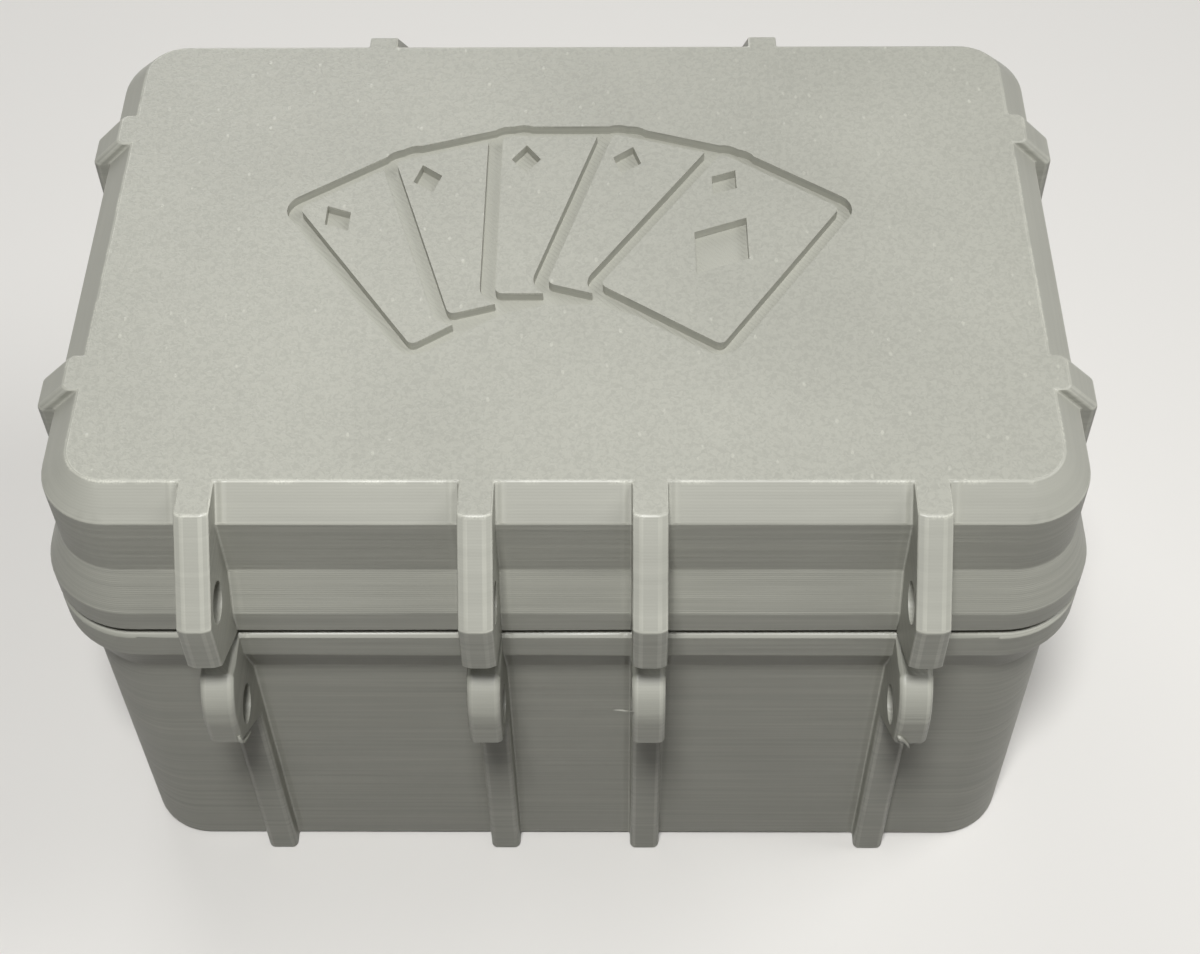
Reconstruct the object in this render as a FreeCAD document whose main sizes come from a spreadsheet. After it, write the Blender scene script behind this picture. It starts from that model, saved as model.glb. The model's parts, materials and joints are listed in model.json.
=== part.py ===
import FreeCAD, Part
import math
import os

import Sketcher

# Hinged, printed carry box for a card game: a base and a lid with support ribs, a rim seal,
# two hinge screws, and inside it a folded rules leaflet under a deck sorted by colour.
# Frame: origin under the middle of the box on the table, X along the box, Y to the hinge, Z up.

# Driving dimensions in millimetres, with the counts of cards
SIZES = {
    "card_length": 87.0,
    "card_width": 56.0,
    "card_thickness": 0.28,
    "card_air": 0.02,
    "card_corner": 4.0,
    "colour_cards": 36,
    "wild_cards": 24,
    "leaflet_end_margin": 3.5,
    "leaflet_side_margin": 2.0,
    "leaflet_thickness": 1.2,
    "end_room": 1.7,
    "side_room": 1.2,
    "head_room": 4.8,
    "wall": 3.0,
    "floor_thickness": 3.0,
    "top_thickness": 3.0,
    "corner_radius": 6.8,
    "lid_height": 17.88,
    "top_chamfer": 2.8,
    "foot_bevel": 0.4,
    "rim_reach": 1.8,
    "lid_rim_bevel": 0.5,
    "base_rim_bevel": 0.35,
    "lid_rim_height": 3.28,
    "base_rim_height": 3.4,
    "flare_height": 4.6,
    "seam_gap": 0.55,
    "groove_lip": 1.2,
    "groove_width": 2.2,
    "groove_depth": 2.0,
    "seal_thickness": 0.9,
    "seal_clearance": 0.2,
    "seal_gap": 0.1,
    "rib_thickness": 3.2,
    "base_rib_bevel": 0.4,
    "lid_rib_bevel_width": 0.75,
    "lid_rib_bevel_depth": 0.3,
    "latch_offset": 20.4,
    "latch_spacing": 25.2,
    "latch_hole": 4.0,
    "latch_hole_setback": 4.2,
    "catch_drop": 8.25,
    "pivot_drop": 7.52,
    "lid_rib_reach": 8.6,
    "lid_rib_ledge": 1.1,
    "lid_rib_foot": 4.38,
    "lug_reach": 9.0,
    "lug_top_reach": 6.1,
    "lug_nose_radius": 5.2,
    "lug_foot_drop": 7.85,
    "side_rib_thickness": 4.3,
    "side_rib_bevel": 0.5,
    "side_rib_offset": 16.6,
    "side_rib_ledge": 1.25,
    "hinge_offset": 20.4,
    "knuckle_thickness": 3.0,
    "hinge_lug_thickness": 3.0,
    "hinge_side_gap": 0.3,
    "barrel_radius": 3.4,
    "barrel_gap": 0.4,
    "screw_diameter": 3.0,
    "screw_point": 0.4,
    "screw_head_diameter": 5.6,
    "screw_head_height": 2.0,
    "screw_hold_clearance": 0.05,
    "screw_run_clearance": 0.08,
}

doc = FreeCAD.newDocument("CardBox")
sheet = doc.addObject("Spreadsheet::Sheet", "dims")
for row, (alias, size) in enumerate(SIZES.items(), start=1):
    sheet.set(f"A{row}", alias)
    sheet.set(f"B{row}", str(size))
    sheet.setAlias(f"B{row}", alias)
doc.recompute()

# Sizes that follow from the driving ones, as expressions on the sheet
HALF_X = "(dims.card_length / 2 + dims.end_room + dims.wall)"
HALF_Y = "(dims.card_width / 2 + dims.side_room + dims.wall)"
CARD_PITCH = "(dims.card_thickness + dims.card_air)"
DECK = f"((4 * dims.colour_cards + dims.wild_cards) * {CARD_PITCH})"
DECK_FLOOR = "(dims.floor_thickness + dims.leaflet_thickness)"
TOP = f"({DECK_FLOOR} + {DECK} + dims.head_room + dims.top_thickness)"
LID_FOOT = f"({TOP} - dims.lid_height)"
SEAM = f"({LID_FOOT} - dims.seam_gap)"
HINGE_Y = f"({HALF_Y} + dims.rim_reach + dims.barrel_gap + dims.barrel_radius)"
LATCH_HOLE_Y = f"({HALF_Y} + dims.lug_reach - dims.latch_hole_setback)"
RIB_ROOT = "(dims.wall / 2)"
LID_RIB_ROOT = "(dims.top_chamfer + dims.wall / 2)"


def number(expression):
    return float(sheet.evalExpression(expression))


def new_body(label):
    body = doc.addObject("PartDesign::Body", label)
    body.Label = label
    return body


def origin_feature(body, role):
    return next(item for item in body.Origin.OriginFeatures if item.Role == role)


def new_sketch(body, name, plane, offset):
    sketch = body.newObject("Sketcher::SketchObject", name)
    sketch.AttachmentSupport = [(origin_feature(body, plane), "")]
    sketch.MapMode = "FlatFace"
    sketch.setExpression("AttachmentOffset.Base.z", offset)
    return sketch


def tie(sketch, kind, place, expression):
    # One dimension of a sketch, bound to the sheet; its sign picks the order of the two points
    value = number(expression)
    corner = (-1, 1) + place if value >= 0 else place + (-1, 1)
    index = sketch.addConstraint(Sketcher.Constraint(kind, *corner, abs(value)))
    sketch.setExpression(f"Constraints[{index}]", expression if value >= 0 else f"-({expression})")


def rounded_loop(sketch, half_x, half_y, radius):
    # Rounded rectangle about the sketch's origin: four sides joined by tangent corner arcs
    reach_x, reach_y, bend = number(half_x), number(half_y), number(radius)
    inner_x, inner_y = reach_x - bend, reach_y - bend
    corners = [(1, -1, -90), (1, 1, 0), (-1, 1, 90), (-1, -1, 180)]
    sides = [
        ((-inner_x, -reach_y), (inner_x, -reach_y)),
        ((reach_x, -inner_y), (reach_x, inner_y)),
        ((inner_x, reach_y), (-inner_x, reach_y)),
        ((-reach_x, inner_y), (-reach_x, -inner_y)),
    ]
    first = sketch.GeometryCount
    for (start, end), (sign_x, sign_y, angle) in zip(sides, corners):
        sketch.addGeometry(Part.LineSegment(FreeCAD.Vector(*start), FreeCAD.Vector(*end)))
        centre = FreeCAD.Vector(sign_x * inner_x, sign_y * inner_y)
        circle = Part.Circle(centre, FreeCAD.Vector(0, 0, 1), bend)
        turn = math.radians(angle)
        sketch.addGeometry(Part.ArcOfCircle(circle, turn, turn + math.pi / 2))
    for step in range(8):
        following = first + (step + 1) % 8
        sketch.addConstraint(Sketcher.Constraint("Tangent", first + step, 2, following, 1))
    for step, direction in enumerate(("Horizontal", "Vertical", "Horizontal", "Vertical")):
        sketch.addConstraint(Sketcher.Constraint(direction, first + 2 * step))
    for arc in (3, 5, 7):
        sketch.addConstraint(Sketcher.Constraint("Equal", first + 1, first + arc))
    sketch.addConstraint(Sketcher.Constraint("Symmetric", first, 1, first + 4, 1, -1, 1))
    tie(sketch, "DistanceX", (first + 2, 1), half_x)
    tie(sketch, "DistanceY", (first + 4, 1), half_y)
    index = sketch.addConstraint(Sketcher.Constraint("Radius", first + 1, bend))
    sketch.setExpression(f"Constraints[{index}]", radius)


def outline(sketch, corners, bends=None):
    # Closed outline through corners given as expression pairs, anticlockwise or clockwise;
    # bends maps the number of an edge to the radius and centre of its arc
    bends = bends or {}
    points = [FreeCAD.Vector(number(across), number(up)) for across, up in corners]
    ends = []
    for edge, start in enumerate(points):
        end = points[(edge + 1) % len(points)]
        if edge not in bends:
            ends.append((sketch.addGeometry(Part.LineSegment(start, end)), 1, 2))
            continue
        radius, centre = bends[edge]
        middle = FreeCAD.Vector(number(centre[0]), number(centre[1]))
        circle = Part.Circle(middle, FreeCAD.Vector(0, 0, 1), number(radius))
        turns = [math.atan2(point.y - middle.y, point.x - middle.x) for point in (start, end)]
        sweep = (turns[1] - turns[0]) % (2 * math.pi)
        forward = sweep < math.pi
        low, high = turns if forward else reversed(turns)
        arc = sketch.addGeometry(Part.ArcOfCircle(circle, low, high))
        ends.append((arc, 1, 2) if forward else (arc, 2, 1))
    for edge, (item, _, end) in enumerate(ends):
        following, start, _ = ends[(edge + 1) % len(ends)]
        sketch.addConstraint(Sketcher.Constraint("Coincident", item, end, following, start))
    for (item, start, _), (across, up) in zip(ends, corners):
        tie(sketch, "DistanceX", (item, start), across)
        tie(sketch, "DistanceY", (item, start), up)
    for edge, (radius, _) in bends.items():
        index = sketch.addConstraint(Sketcher.Constraint("Radius", ends[edge][0], number(radius)))
        sketch.setExpression(f"Constraints[{index}]", radius)


def box_sketch(body, name, height, spread):
    # The box's rounded plan at one height, spread outwards from the outer wall
    sketch = new_sketch(body, name, "XY_Plane", height)
    radius = f"dims.corner_radius + {spread}"
    rounded_loop(sketch, f"{HALF_X} + {spread}", f"{HALF_Y} + {spread}", radius)
    return sketch


def ring_sketch(body, name, height, outer, inner):
    sketch = box_sketch(body, name, height, outer)
    radius = f"dims.corner_radius + {inner}"
    rounded_loop(sketch, f"{HALF_X} + {inner}", f"{HALF_Y} + {inner}", radius)
    return sketch


def loft(body, name, sketches):
    feature = body.newObject("PartDesign::AdditiveLoft", name)
    feature.Profile = sketches[0]
    feature.Sections = sketches[1:]
    feature.Ruled = True
    return feature


def pad(body, name, sketch, length, symmetric=False):
    feature = body.newObject("PartDesign::Pad", name)
    feature.Profile = sketch
    feature.Midplane = symmetric
    feature.setExpression("Length", length)
    return feature


def pocket(body, name, sketch, length, reversed_cut=False, symmetric=False):
    # A cut that has to take material away from the body as it stands
    doc.recompute()
    before = body.Shape.Volume
    feature = body.newObject("PartDesign::Pocket", name)
    feature.Profile = sketch
    feature.Reversed = reversed_cut
    feature.Midplane = symmetric
    feature.setExpression("Length", length)
    doc.recompute()
    if body.Shape.Volume >= before:
        raise RuntimeError(f"{name} removes nothing from {body.Label}")
    return feature


def mirror(body, name, features, plane):
    feature = body.newObject("PartDesign::Mirrored", name)
    feature.Originals = features
    feature.MirrorPlane = (origin_feature(body, plane), [""])
    body.Tip = feature
    return feature


def outer_shell(body, stations):
    # Walls, flare and rim in one ruled loft through the plan at each height
    sketches = []
    for step, (height, spread) in enumerate(stations):
        sketches.append(box_sketch(body, f"plan_{step}", height, spread))
    return loft(body, "outer_form", sketches)


def bevelled_rib(body, name, plane, middle, thickness, bevel, corners_at, bends_at=None):
    # A rib whose outer edges are bevelled on both sides: the outline is drawn in by the
    # bevel's depth on the two side faces and full from the bevel's width on
    width, depth = bevel
    stations = [
        (f"{middle} - {thickness} / 2", depth),
        (f"{middle} - {thickness} / 2 + {width}", "0"),
        (f"{middle} + {thickness} / 2 - {width}", "0"),
        (f"{middle} + {thickness} / 2", depth),
    ]
    sketches = []
    for step, (place, drawn_in) in enumerate(stations):
        sketch = new_sketch(body, f"{name}_{step}", plane, place)
        outline(sketch, corners_at(drawn_in), bends_at(drawn_in) if bends_at else None)
        sketches.append(sketch)
    return loft(body, name, sketches)


def front(out):
    # Place of a point that lies outside the front wall by the given distance
    return f"-({HALF_Y} + {out})"


def front_ribs(body, bevel, corners_at, bends_at=None):
    # Two pairs of latch ribs: the right pair, then its mirror image
    ribs = []
    for name, sign in (("inner_latch_rib", "-"), ("outer_latch_rib", "+")):
        middle = f"(dims.latch_offset {sign} dims.latch_spacing / 2)"
        thickness = "dims.rib_thickness"
        ribs.append(bevelled_rib(body, name, "YZ_Plane", middle, thickness, bevel, corners_at, bends_at))
    mirror(body, "left_latch_ribs", ribs, "YZ_Plane")


def side_ribs(body, corners_at):
    # Two ribs on the right side, front and rear, then both on the left
    ribs = []
    for name, sign in (("front_side_rib", ""), ("rear_side_rib", "-")):
        middle = f"{sign}dims.side_rib_offset"
        thickness = "dims.side_rib_thickness"
        bevel = ("dims.side_rib_bevel", "dims.side_rib_bevel")
        ribs.append(bevelled_rib(body, name, "XZ_Plane", middle, thickness, bevel, corners_at))
    mirror(body, "left_side_ribs", ribs, "YZ_Plane")


def cross_bore(body, name, place_y, place_z, diameter):
    # A round hole along X through every rib on its line
    sketch = new_sketch(body, f"{name}_circle", "YZ_Plane", "0")
    centre = FreeCAD.Vector(number(place_y), number(place_z))
    circle = Part.Circle(centre, FreeCAD.Vector(0, 0, 1), number(diameter) / 2)
    sketch.addGeometry(circle)
    tie(sketch, "DistanceX", (0, 3), place_y)
    tie(sketch, "DistanceY", (0, 3), place_z)
    index = sketch.addConstraint(Sketcher.Constraint("Diameter", 0, number(diameter)))
    sketch.setExpression(f"Constraints[{index}]", diameter)
    return pocket(body, name, sketch, f"2 * {HALF_X}", symmetric=True)


def base_latch_rib(drawn_in):
    # Thin rib flush with the rim, carrying a lug with a sloping underside and a round nose;
    # the bevel runs on round the lug's level top
    thin = front(f"dims.rim_reach - {drawn_in}")
    nose = front(f"dims.lug_reach - {drawn_in}")
    lug_foot = f"({SEAM} - dims.lug_foot_drop)"
    lug_top = f"({SEAM} - {drawn_in})"
    rise = f"({lug_top} - {nose_spring()})"
    arc_end = f"dims.lug_reach - {drawn_in} - dims.lug_nose_radius + sqrt(dims.lug_nose_radius^2 - {rise}^2)"
    return [
        (front(f"(-{RIB_ROOT})"), "0"),
        (thin, "0"),
        (thin, f"{lug_foot} - (dims.lug_reach - dims.rim_reach)"),
        (nose, lug_foot),
        (nose, nose_spring()),
        (front(arc_end), lug_top),
        (front(f"(-{RIB_ROOT})"), lug_top),
    ]


def nose_spring():
    # Height at which the nose's arc leaves the lug's upright face
    step = "(dims.lug_reach - dims.lug_top_reach)"
    return f"({SEAM} - sqrt({step} * (2 * dims.lug_nose_radius - {step})))"


def base_latch_bends(drawn_in):
    centre = (front(f"dims.lug_reach - {drawn_in} - dims.lug_nose_radius"), nose_spring())
    return {4: ("dims.lug_nose_radius", centre)}


def base_side_rib(drawn_in):
    # Flat rib flush with the rim, from the foot up into the rim
    root = f"{HALF_X} - {RIB_ROOT}"
    face = f"{HALF_X} + dims.rim_reach - {drawn_in}"
    top = f"{SEAM} - dims.base_rim_height / 2"
    return [(root, "0"), (face, "0"), (face, top), (root, top)]


def lid_latch_rib(drawn_in):
    # Rib that leaves the lid's top face and slopes out to the latch bore
    nose = front(f"dims.lid_rib_reach - {drawn_in}")
    return [
        (front(f"(-{LID_RIB_ROOT})"), TOP),
        (front(f"dims.lid_rib_ledge - {drawn_in}"), TOP),
        (nose, f"{TOP} - (dims.lid_rib_reach - dims.lid_rib_ledge)"),
        (nose, f"{LID_FOOT} + dims.lid_rib_foot"),
        (front(f"dims.rim_reach - {drawn_in}"), LID_FOOT),
        (front(f"(-{RIB_ROOT})"), LID_FOOT),
    ]


def lid_side_rib(drawn_in):
    # Rib that leaves the lid's top face and slopes out to the rim
    root = f"{HALF_X} - {LID_RIB_ROOT}"
    face = f"{HALF_X} + dims.rim_reach - {drawn_in}"
    foot = f"{LID_FOOT} + dims.lid_rim_height / 2"
    return [
        (root, TOP),
        (root, foot),
        (face, foot),
        (face, f"{TOP} - (dims.rim_reach + dims.side_rib_ledge)"),
        (f"{HALF_X} - dims.side_rib_ledge - {drawn_in}", TOP),
    ]


def barrel_point(degrees):
    # Point of the hinge barrel at an angle from straight back
    across = f"({HINGE_Y} + dims.barrel_radius * cos({degrees} deg))"
    up = f"({SEAM} + dims.barrel_radius * sin({degrees} deg))"
    return across, up


def hinge_lugs(body):
    # Two lugs beside each lid knuckle, on thin ribs that run down to the foot
    root = f"({HALF_Y} - {RIB_ROOT})"
    thin = f"({HALF_Y} + dims.rim_reach)"
    lower = barrel_point(-45)
    corners = [
        (root, "0"),
        (thin, "0"),
        (thin, f"{lower[1]} - ({lower[0]} - {thin})"),
        lower,
        barrel_point(90),
        barrel_point(180),
        (barrel_point(180)[0], f"{SEAM} - dims.base_rim_bevel"),
        (root, f"{SEAM} - dims.base_rim_bevel"),
    ]
    bend = ("dims.barrel_radius", (HINGE_Y, SEAM))
    shift = "(dims.knuckle_thickness / 2 + dims.hinge_side_gap + dims.hinge_lug_thickness / 2)"
    lugs = []
    for name, sign in (("inner_hinge_lug", "-"), ("outer_hinge_lug", "+")):
        place = f"dims.hinge_offset {sign} {shift}"
        sketch = new_sketch(body, f"{name}_outline", "YZ_Plane", place)
        outline(sketch, corners, {3: bend, 4: bend})
        lugs.append(pad(body, name, sketch, "dims.hinge_lug_thickness", symmetric=True))
    mirror(body, "left_hinge_lugs", lugs, "YZ_Plane")


def hinge_knuckles(body):
    # One rib at each hinge, sloping out from the top face to a barrel round the screw
    root = f"({HALF_Y} - {LID_RIB_ROOT})"
    ledge = f"({HALF_Y} - dims.side_rib_ledge)"
    outer = barrel_point(0)
    inner = barrel_point(180)
    corners = [
        (root, TOP),
        (root, LID_FOOT),
        (inner[0], LID_FOOT),
        inner,
        barrel_point(-90),
        outer,
        (outer[0], f"{TOP} - ({outer[0]} - {ledge})"),
        (ledge, TOP),
    ]
    bend = ("dims.barrel_radius", (HINGE_Y, SEAM))
    sketch = new_sketch(body, "hinge_knuckle_outline", "YZ_Plane", "dims.hinge_offset")
    outline(sketch, corners, {3: bend, 4: bend})
    knuckle = pad(body, "hinge_knuckle", sketch, "dims.knuckle_thickness", symmetric=True)
    mirror(body, "left_hinge_knuckle", [knuckle], "YZ_Plane")


def make_base():
    body = new_body("base_shell")
    rim_foot = f"({SEAM} - dims.base_rim_height)"
    outer_shell(body, [
        ("0", "(-dims.foot_bevel)"),
        ("dims.foot_bevel", "0"),
        (f"{rim_foot} - dims.flare_height", "0"),
        (rim_foot, "dims.rim_reach"),
        (f"{SEAM} - dims.base_rim_bevel", "dims.rim_reach"),
        (SEAM, "(dims.rim_reach - dims.base_rim_bevel)"),
    ])
    bevel = ("dims.base_rib_bevel", "dims.base_rib_bevel")
    front_ribs(body, bevel, base_latch_rib, base_latch_bends)
    hinge_lugs(body)
    side_ribs(body, base_side_rib)
    cavity = box_sketch(body, "cavity_plan", SEAM, "(-dims.wall)")
    pocket(body, "cavity", cavity, f"{SEAM} - dims.floor_thickness")
    groove = ring_sketch(body, "groove_plan", SEAM, groove_edge("dims.groove_width"), groove_edge("0"))
    pocket(body, "seal_groove", groove, "dims.groove_depth")
    pivot_height = f"({SEAM} - dims.pivot_drop)"
    cross_bore(body, "latch_pivot_bore", f"-{LATCH_HOLE_Y}", pivot_height, "dims.latch_hole")
    hold = "(dims.screw_diameter + 2 * dims.screw_hold_clearance)"
    cross_bore(body, "hinge_screw_bore", HINGE_Y, SEAM, hold)
    return body


def groove_edge(width):
    # Spread of a line in the rim, measured outwards from the groove's inner side
    return f"(-dims.wall + dims.groove_lip + {width})"


def make_lid():
    body = new_body("lid_shell")
    rim_top = f"({LID_FOOT} + dims.lid_rim_height)"
    outer_shell(body, [
        (LID_FOOT, "(dims.rim_reach - dims.lid_rim_bevel)"),
        (f"{LID_FOOT} + dims.lid_rim_bevel", "dims.rim_reach"),
        (rim_top, "dims.rim_reach"),
        (f"{rim_top} + dims.flare_height", "0"),
        (f"{TOP} - dims.top_chamfer", "0"),
        (TOP, "(-dims.top_chamfer)"),
    ])
    front_ribs(body, ("dims.lid_rib_bevel_width", "dims.lid_rib_bevel_depth"), lid_latch_rib)
    hinge_knuckles(body)
    side_ribs(body, lid_side_rib)
    cavity = box_sketch(body, "cavity_plan", LID_FOOT, "(-dims.wall)")
    depth = "dims.lid_height - dims.top_thickness"
    pocket(body, "cavity", cavity, depth, reversed_cut=True)
    inner = groove_edge("dims.seal_clearance")
    outer = groove_edge("dims.groove_width - dims.seal_clearance")
    tongue_foot = f"({SEAM} - dims.groove_depth + dims.seal_thickness + dims.seal_gap)"
    tongue = ring_sketch(body, "tongue_plan", tongue_foot, outer, inner)
    pad(body, "tongue", tongue, f"{LID_FOOT} - {tongue_foot}")
    doc.recompute()
    catch_height = f"({TOP} - dims.catch_drop)"
    cross_bore(body, "latch_catch_bore", f"-{LATCH_HOLE_Y}", catch_height, "dims.latch_hole")
    run = "(dims.screw_diameter + 2 * dims.screw_run_clearance)"
    cross_bore(body, "hinge_screw_bore", HINGE_Y, SEAM, run)
    return body


def make_seal():
    # Flat ring that lies in the base's groove under the lid's tongue
    body = new_body("rim_seal")
    inner = groove_edge("dims.seal_clearance")
    outer = groove_edge("dims.groove_width - dims.seal_clearance")
    plan = ring_sketch(body, "seal_plan", "0", outer, inner)
    pad(body, "seal", plan, "dims.seal_thickness")
    body.setExpression("Placement.Base.z", f"{SEAM} - dims.groove_depth")
    return body


def make_hinge_screw(label, sign):
    # Screw along X: the head bears on the outer lug, the shank ends just past the inner one
    body = new_body(label)
    grip = "(dims.knuckle_thickness + 2 * dims.hinge_side_gap + 2 * dims.hinge_lug_thickness)"
    shank = "dims.screw_diameter / 2"
    head = "dims.screw_head_diameter / 2"
    rim = "dims.screw_head_height / 2"
    sketch = new_sketch(body, "half_section", "XZ_Plane", "0")
    outline(sketch, [
        (f"-({grip} + dims.screw_point)", "0"),
        ("dims.screw_head_height", "0"),
        ("dims.screw_head_height", f"{head} - {rim}"),
        (rim, head),
        ("0", head),
        ("0", shank),
        (f"-{grip}", shank),
        (f"-({grip} + dims.screw_point)", f"{shank} - dims.screw_point"),
    ])
    feature = body.newObject("PartDesign::Revolution", "turned_form")
    feature.Profile = sketch
    feature.ReferenceAxis = (origin_feature(body, "X_Axis"), [""])
    feature.Angle = 360
    body.Placement.Rotation = FreeCAD.Rotation(FreeCAD.Vector(0, 0, 1), 0 if sign > 0 else 180)
    body.setExpression("Placement.Base.x", f"{sign} * (dims.hinge_offset + {grip} / 2)")
    body.setExpression("Placement.Base.y", HINGE_Y)
    body.setExpression("Placement.Base.z", SEAM)
    return body


def card_corners():
    # A card's outline, with one flat in place of each round corner, through the arc's middle
    cut = "dims.card_corner * (2 - sqrt(2))"
    end = "(dims.card_length / 2)"
    side = "(dims.card_width / 2)"
    flat_end = f"({end} - {cut})"
    flat_side = f"({side} - {cut})"
    return [
        (flat_end, f"-{side}"),
        (end, f"-{flat_side}"),
        (end, flat_side),
        (flat_end, side),
        (f"-{flat_end}", side),
        (f"-{end}", flat_side),
        (f"-{end}", f"-{flat_side}"),
        (f"-{flat_end}", f"-{side}"),
    ]


def make_cards(label, count, below):
    # One colour of the deck: separate cards, one above the other
    body = new_body(label)
    body.AllowCompound = True
    sketch = new_sketch(body, "card_outline", "XY_Plane", "0")
    outline(sketch, card_corners())
    card = pad(body, "card", sketch, "dims.card_thickness")
    doc.recompute()
    stack = body.newObject("PartDesign::LinearPattern", "stack")
    stack.Originals = [card]
    stack.Direction = (origin_feature(body, "Z_Axis"), [""])
    stack.setExpression("Occurrences", count)
    stack.setExpression("Length", f"({count} - 1) * {CARD_PITCH}")
    body.Tip = stack
    body.setExpression("Placement.Base.z", f"{DECK_FLOOR} + ({below}) * {CARD_PITCH}")
    return body


def make_leaflet():
    # Folded sheet a little smaller than the cards that lie on it
    body = new_body("rules_leaflet")
    sketch = new_sketch(body, "leaflet_outline", "XY_Plane", "0")
    half_x = "(dims.card_length / 2 - dims.leaflet_end_margin)"
    half_y = "(dims.card_width / 2 - dims.leaflet_side_margin)"
    outline(sketch, [
        (f"-{half_x}", f"-{half_y}"),
        (half_x, f"-{half_y}"),
        (half_x, half_y),
        (f"-{half_x}", half_y),
    ])
    pad(body, "leaflet", sketch, "dims.leaflet_thickness")
    body.setExpression("Placement.Base.z", "dims.floor_thickness")
    return body


parts = [
    make_base(),
    make_lid(),
    make_seal(),
    make_hinge_screw("hinge_screw_right", 1),
    make_hinge_screw("hinge_screw_left", -1),
    make_leaflet(),
]
for order, colour in enumerate(("blue", "green", "yellow", "red")):
    parts.append(make_cards(f"{colour}_cards", "dims.colour_cards", f"{order} * dims.colour_cards"))
parts.append(make_cards("wild_cards", "dims.wild_cards", "4 * dims.colour_cards"))
doc.recompute()

for item in doc.Objects:
    if {"Invalid", "Error"} & set(item.State):
        raise RuntimeError(f"{item.Name} failed: {item.State}")
for body in parts:
    if body.Shape.isNull() or not body.Shape.isValid():
        raise RuntimeError(f"{body.Label} has no valid shape")

os.makedirs("parts", exist_ok=True)
for body in parts:
    body.Shape.exportStep(f"parts/{body.Label}.step")
    print(body.Label, len(body.Shape.Solids), "solids", round(body.Shape.Volume, 1), "mm3")
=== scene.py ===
from functools import cached_property
import json
import math

import bmesh
import bpy
from mathutils import Matrix, Vector

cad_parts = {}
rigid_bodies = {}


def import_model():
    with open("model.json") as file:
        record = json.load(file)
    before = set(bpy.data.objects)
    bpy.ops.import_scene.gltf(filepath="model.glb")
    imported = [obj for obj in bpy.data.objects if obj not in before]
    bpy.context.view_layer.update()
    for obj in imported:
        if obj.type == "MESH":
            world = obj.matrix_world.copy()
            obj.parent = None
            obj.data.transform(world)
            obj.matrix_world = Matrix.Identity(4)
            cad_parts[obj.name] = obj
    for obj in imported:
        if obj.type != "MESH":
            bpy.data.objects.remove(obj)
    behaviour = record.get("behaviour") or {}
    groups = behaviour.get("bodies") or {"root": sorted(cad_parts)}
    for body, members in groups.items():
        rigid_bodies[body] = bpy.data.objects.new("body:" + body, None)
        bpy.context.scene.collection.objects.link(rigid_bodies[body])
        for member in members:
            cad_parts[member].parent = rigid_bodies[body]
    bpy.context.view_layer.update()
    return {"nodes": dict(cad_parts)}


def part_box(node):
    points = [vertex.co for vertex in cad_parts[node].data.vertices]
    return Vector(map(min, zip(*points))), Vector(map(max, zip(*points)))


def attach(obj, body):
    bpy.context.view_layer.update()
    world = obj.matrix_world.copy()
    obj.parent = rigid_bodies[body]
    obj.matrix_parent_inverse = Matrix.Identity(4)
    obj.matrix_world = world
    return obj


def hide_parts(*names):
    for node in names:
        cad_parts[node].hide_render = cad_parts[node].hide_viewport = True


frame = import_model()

nodes = frame["nodes"]
mm = 0.001
weldReach = 0.001 * mm  # points nearer than this are one point
middling = (0.3, 0.7)   # where most of a noise lies
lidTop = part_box("lid_shell")[1].z
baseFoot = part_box("base_shell")[0].z
print("frame loaded:", len(nodes), "nodes")


# Small helpers for meshes

def linkObject(name, data):
    made = bpy.data.objects.new(name, data)
    bpy.context.scene.collection.objects.link(made)
    return made


def meshFrom(name, points, faces):
    mesh = bpy.data.meshes.new(name)
    mesh.from_pydata(points, [], faces)
    mesh.update()
    return linkObject(name, mesh)


def settle(made):
    # swaps an object for a plain mesh of what its modifiers give
    bpy.context.view_layer.update()
    graph = bpy.context.evaluated_depsgraph_get()
    mesh = bpy.data.meshes.new_from_object(made.evaluated_get(graph))
    name = made.name
    bpy.data.objects.remove(made)
    mesh.name = name
    return linkObject(name, mesh)


def cutAway(made, tool):
    cut = made.modifiers.new("cut", "BOOLEAN")
    cut.operation = "DIFFERENCE"
    cut.solver = "EXACT"
    cut.object = tool
    made = settle(made)
    bpy.data.objects.remove(tool)
    return made


def paintWith(made, material):
    made.data.materials.clear()
    made.data.materials.append(material)


def shadeSmooth(made, angle):
    # smooth faces with creases kept where the surface turns more than the angle
    made.data.shade_smooth()
    made.data.set_sharp_from_angle(angle=math.radians(angle))


# Node trees: sockets that arithmetic works on, and one method that makes every node

class Flow:
    def __init__(self, tree, socket):
        self.tree = tree
        self.socket = socket

    def __add__(self, other):
        return self.tree.maths("ADD", self, other)

    def __sub__(self, other):
        return self.tree.maths("SUBTRACT", self, other)

    def __rsub__(self, other):
        return self.tree.maths("SUBTRACT", other, self)

    def __mul__(self, other):
        return self.tree.maths("MULTIPLY", self, other)

    def __truediv__(self, other):
        return self.tree.maths("DIVIDE", self, other)

    def __pow__(self, other):
        return self.tree.maths("POWER", self, other)

    def __abs__(self):
        return self.tree.maths("ABSOLUTE", self)

    __radd__ = __add__
    __rmul__ = __mul__

    def fraction(self):
        return self.tree.maths("FRACT", self)

    def least(self, other):
        return self.tree.maths("MINIMUM", self, other)

    def most(self, other):
        return self.tree.maths("MAXIMUM", self, other)

    def ramp(self, low, high, start=0.0, end=1.0):
        # eased step from start to end while the value goes from low to high
        settings = {"interpolation_type": "SMOOTHSTEP"}
        inputs = {"Value": self, "From Min": low, "From Max": high, "To Min": start, "To Max": end}
        return self.tree.node("ShaderNodeMapRange", settings, inputs)


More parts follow.
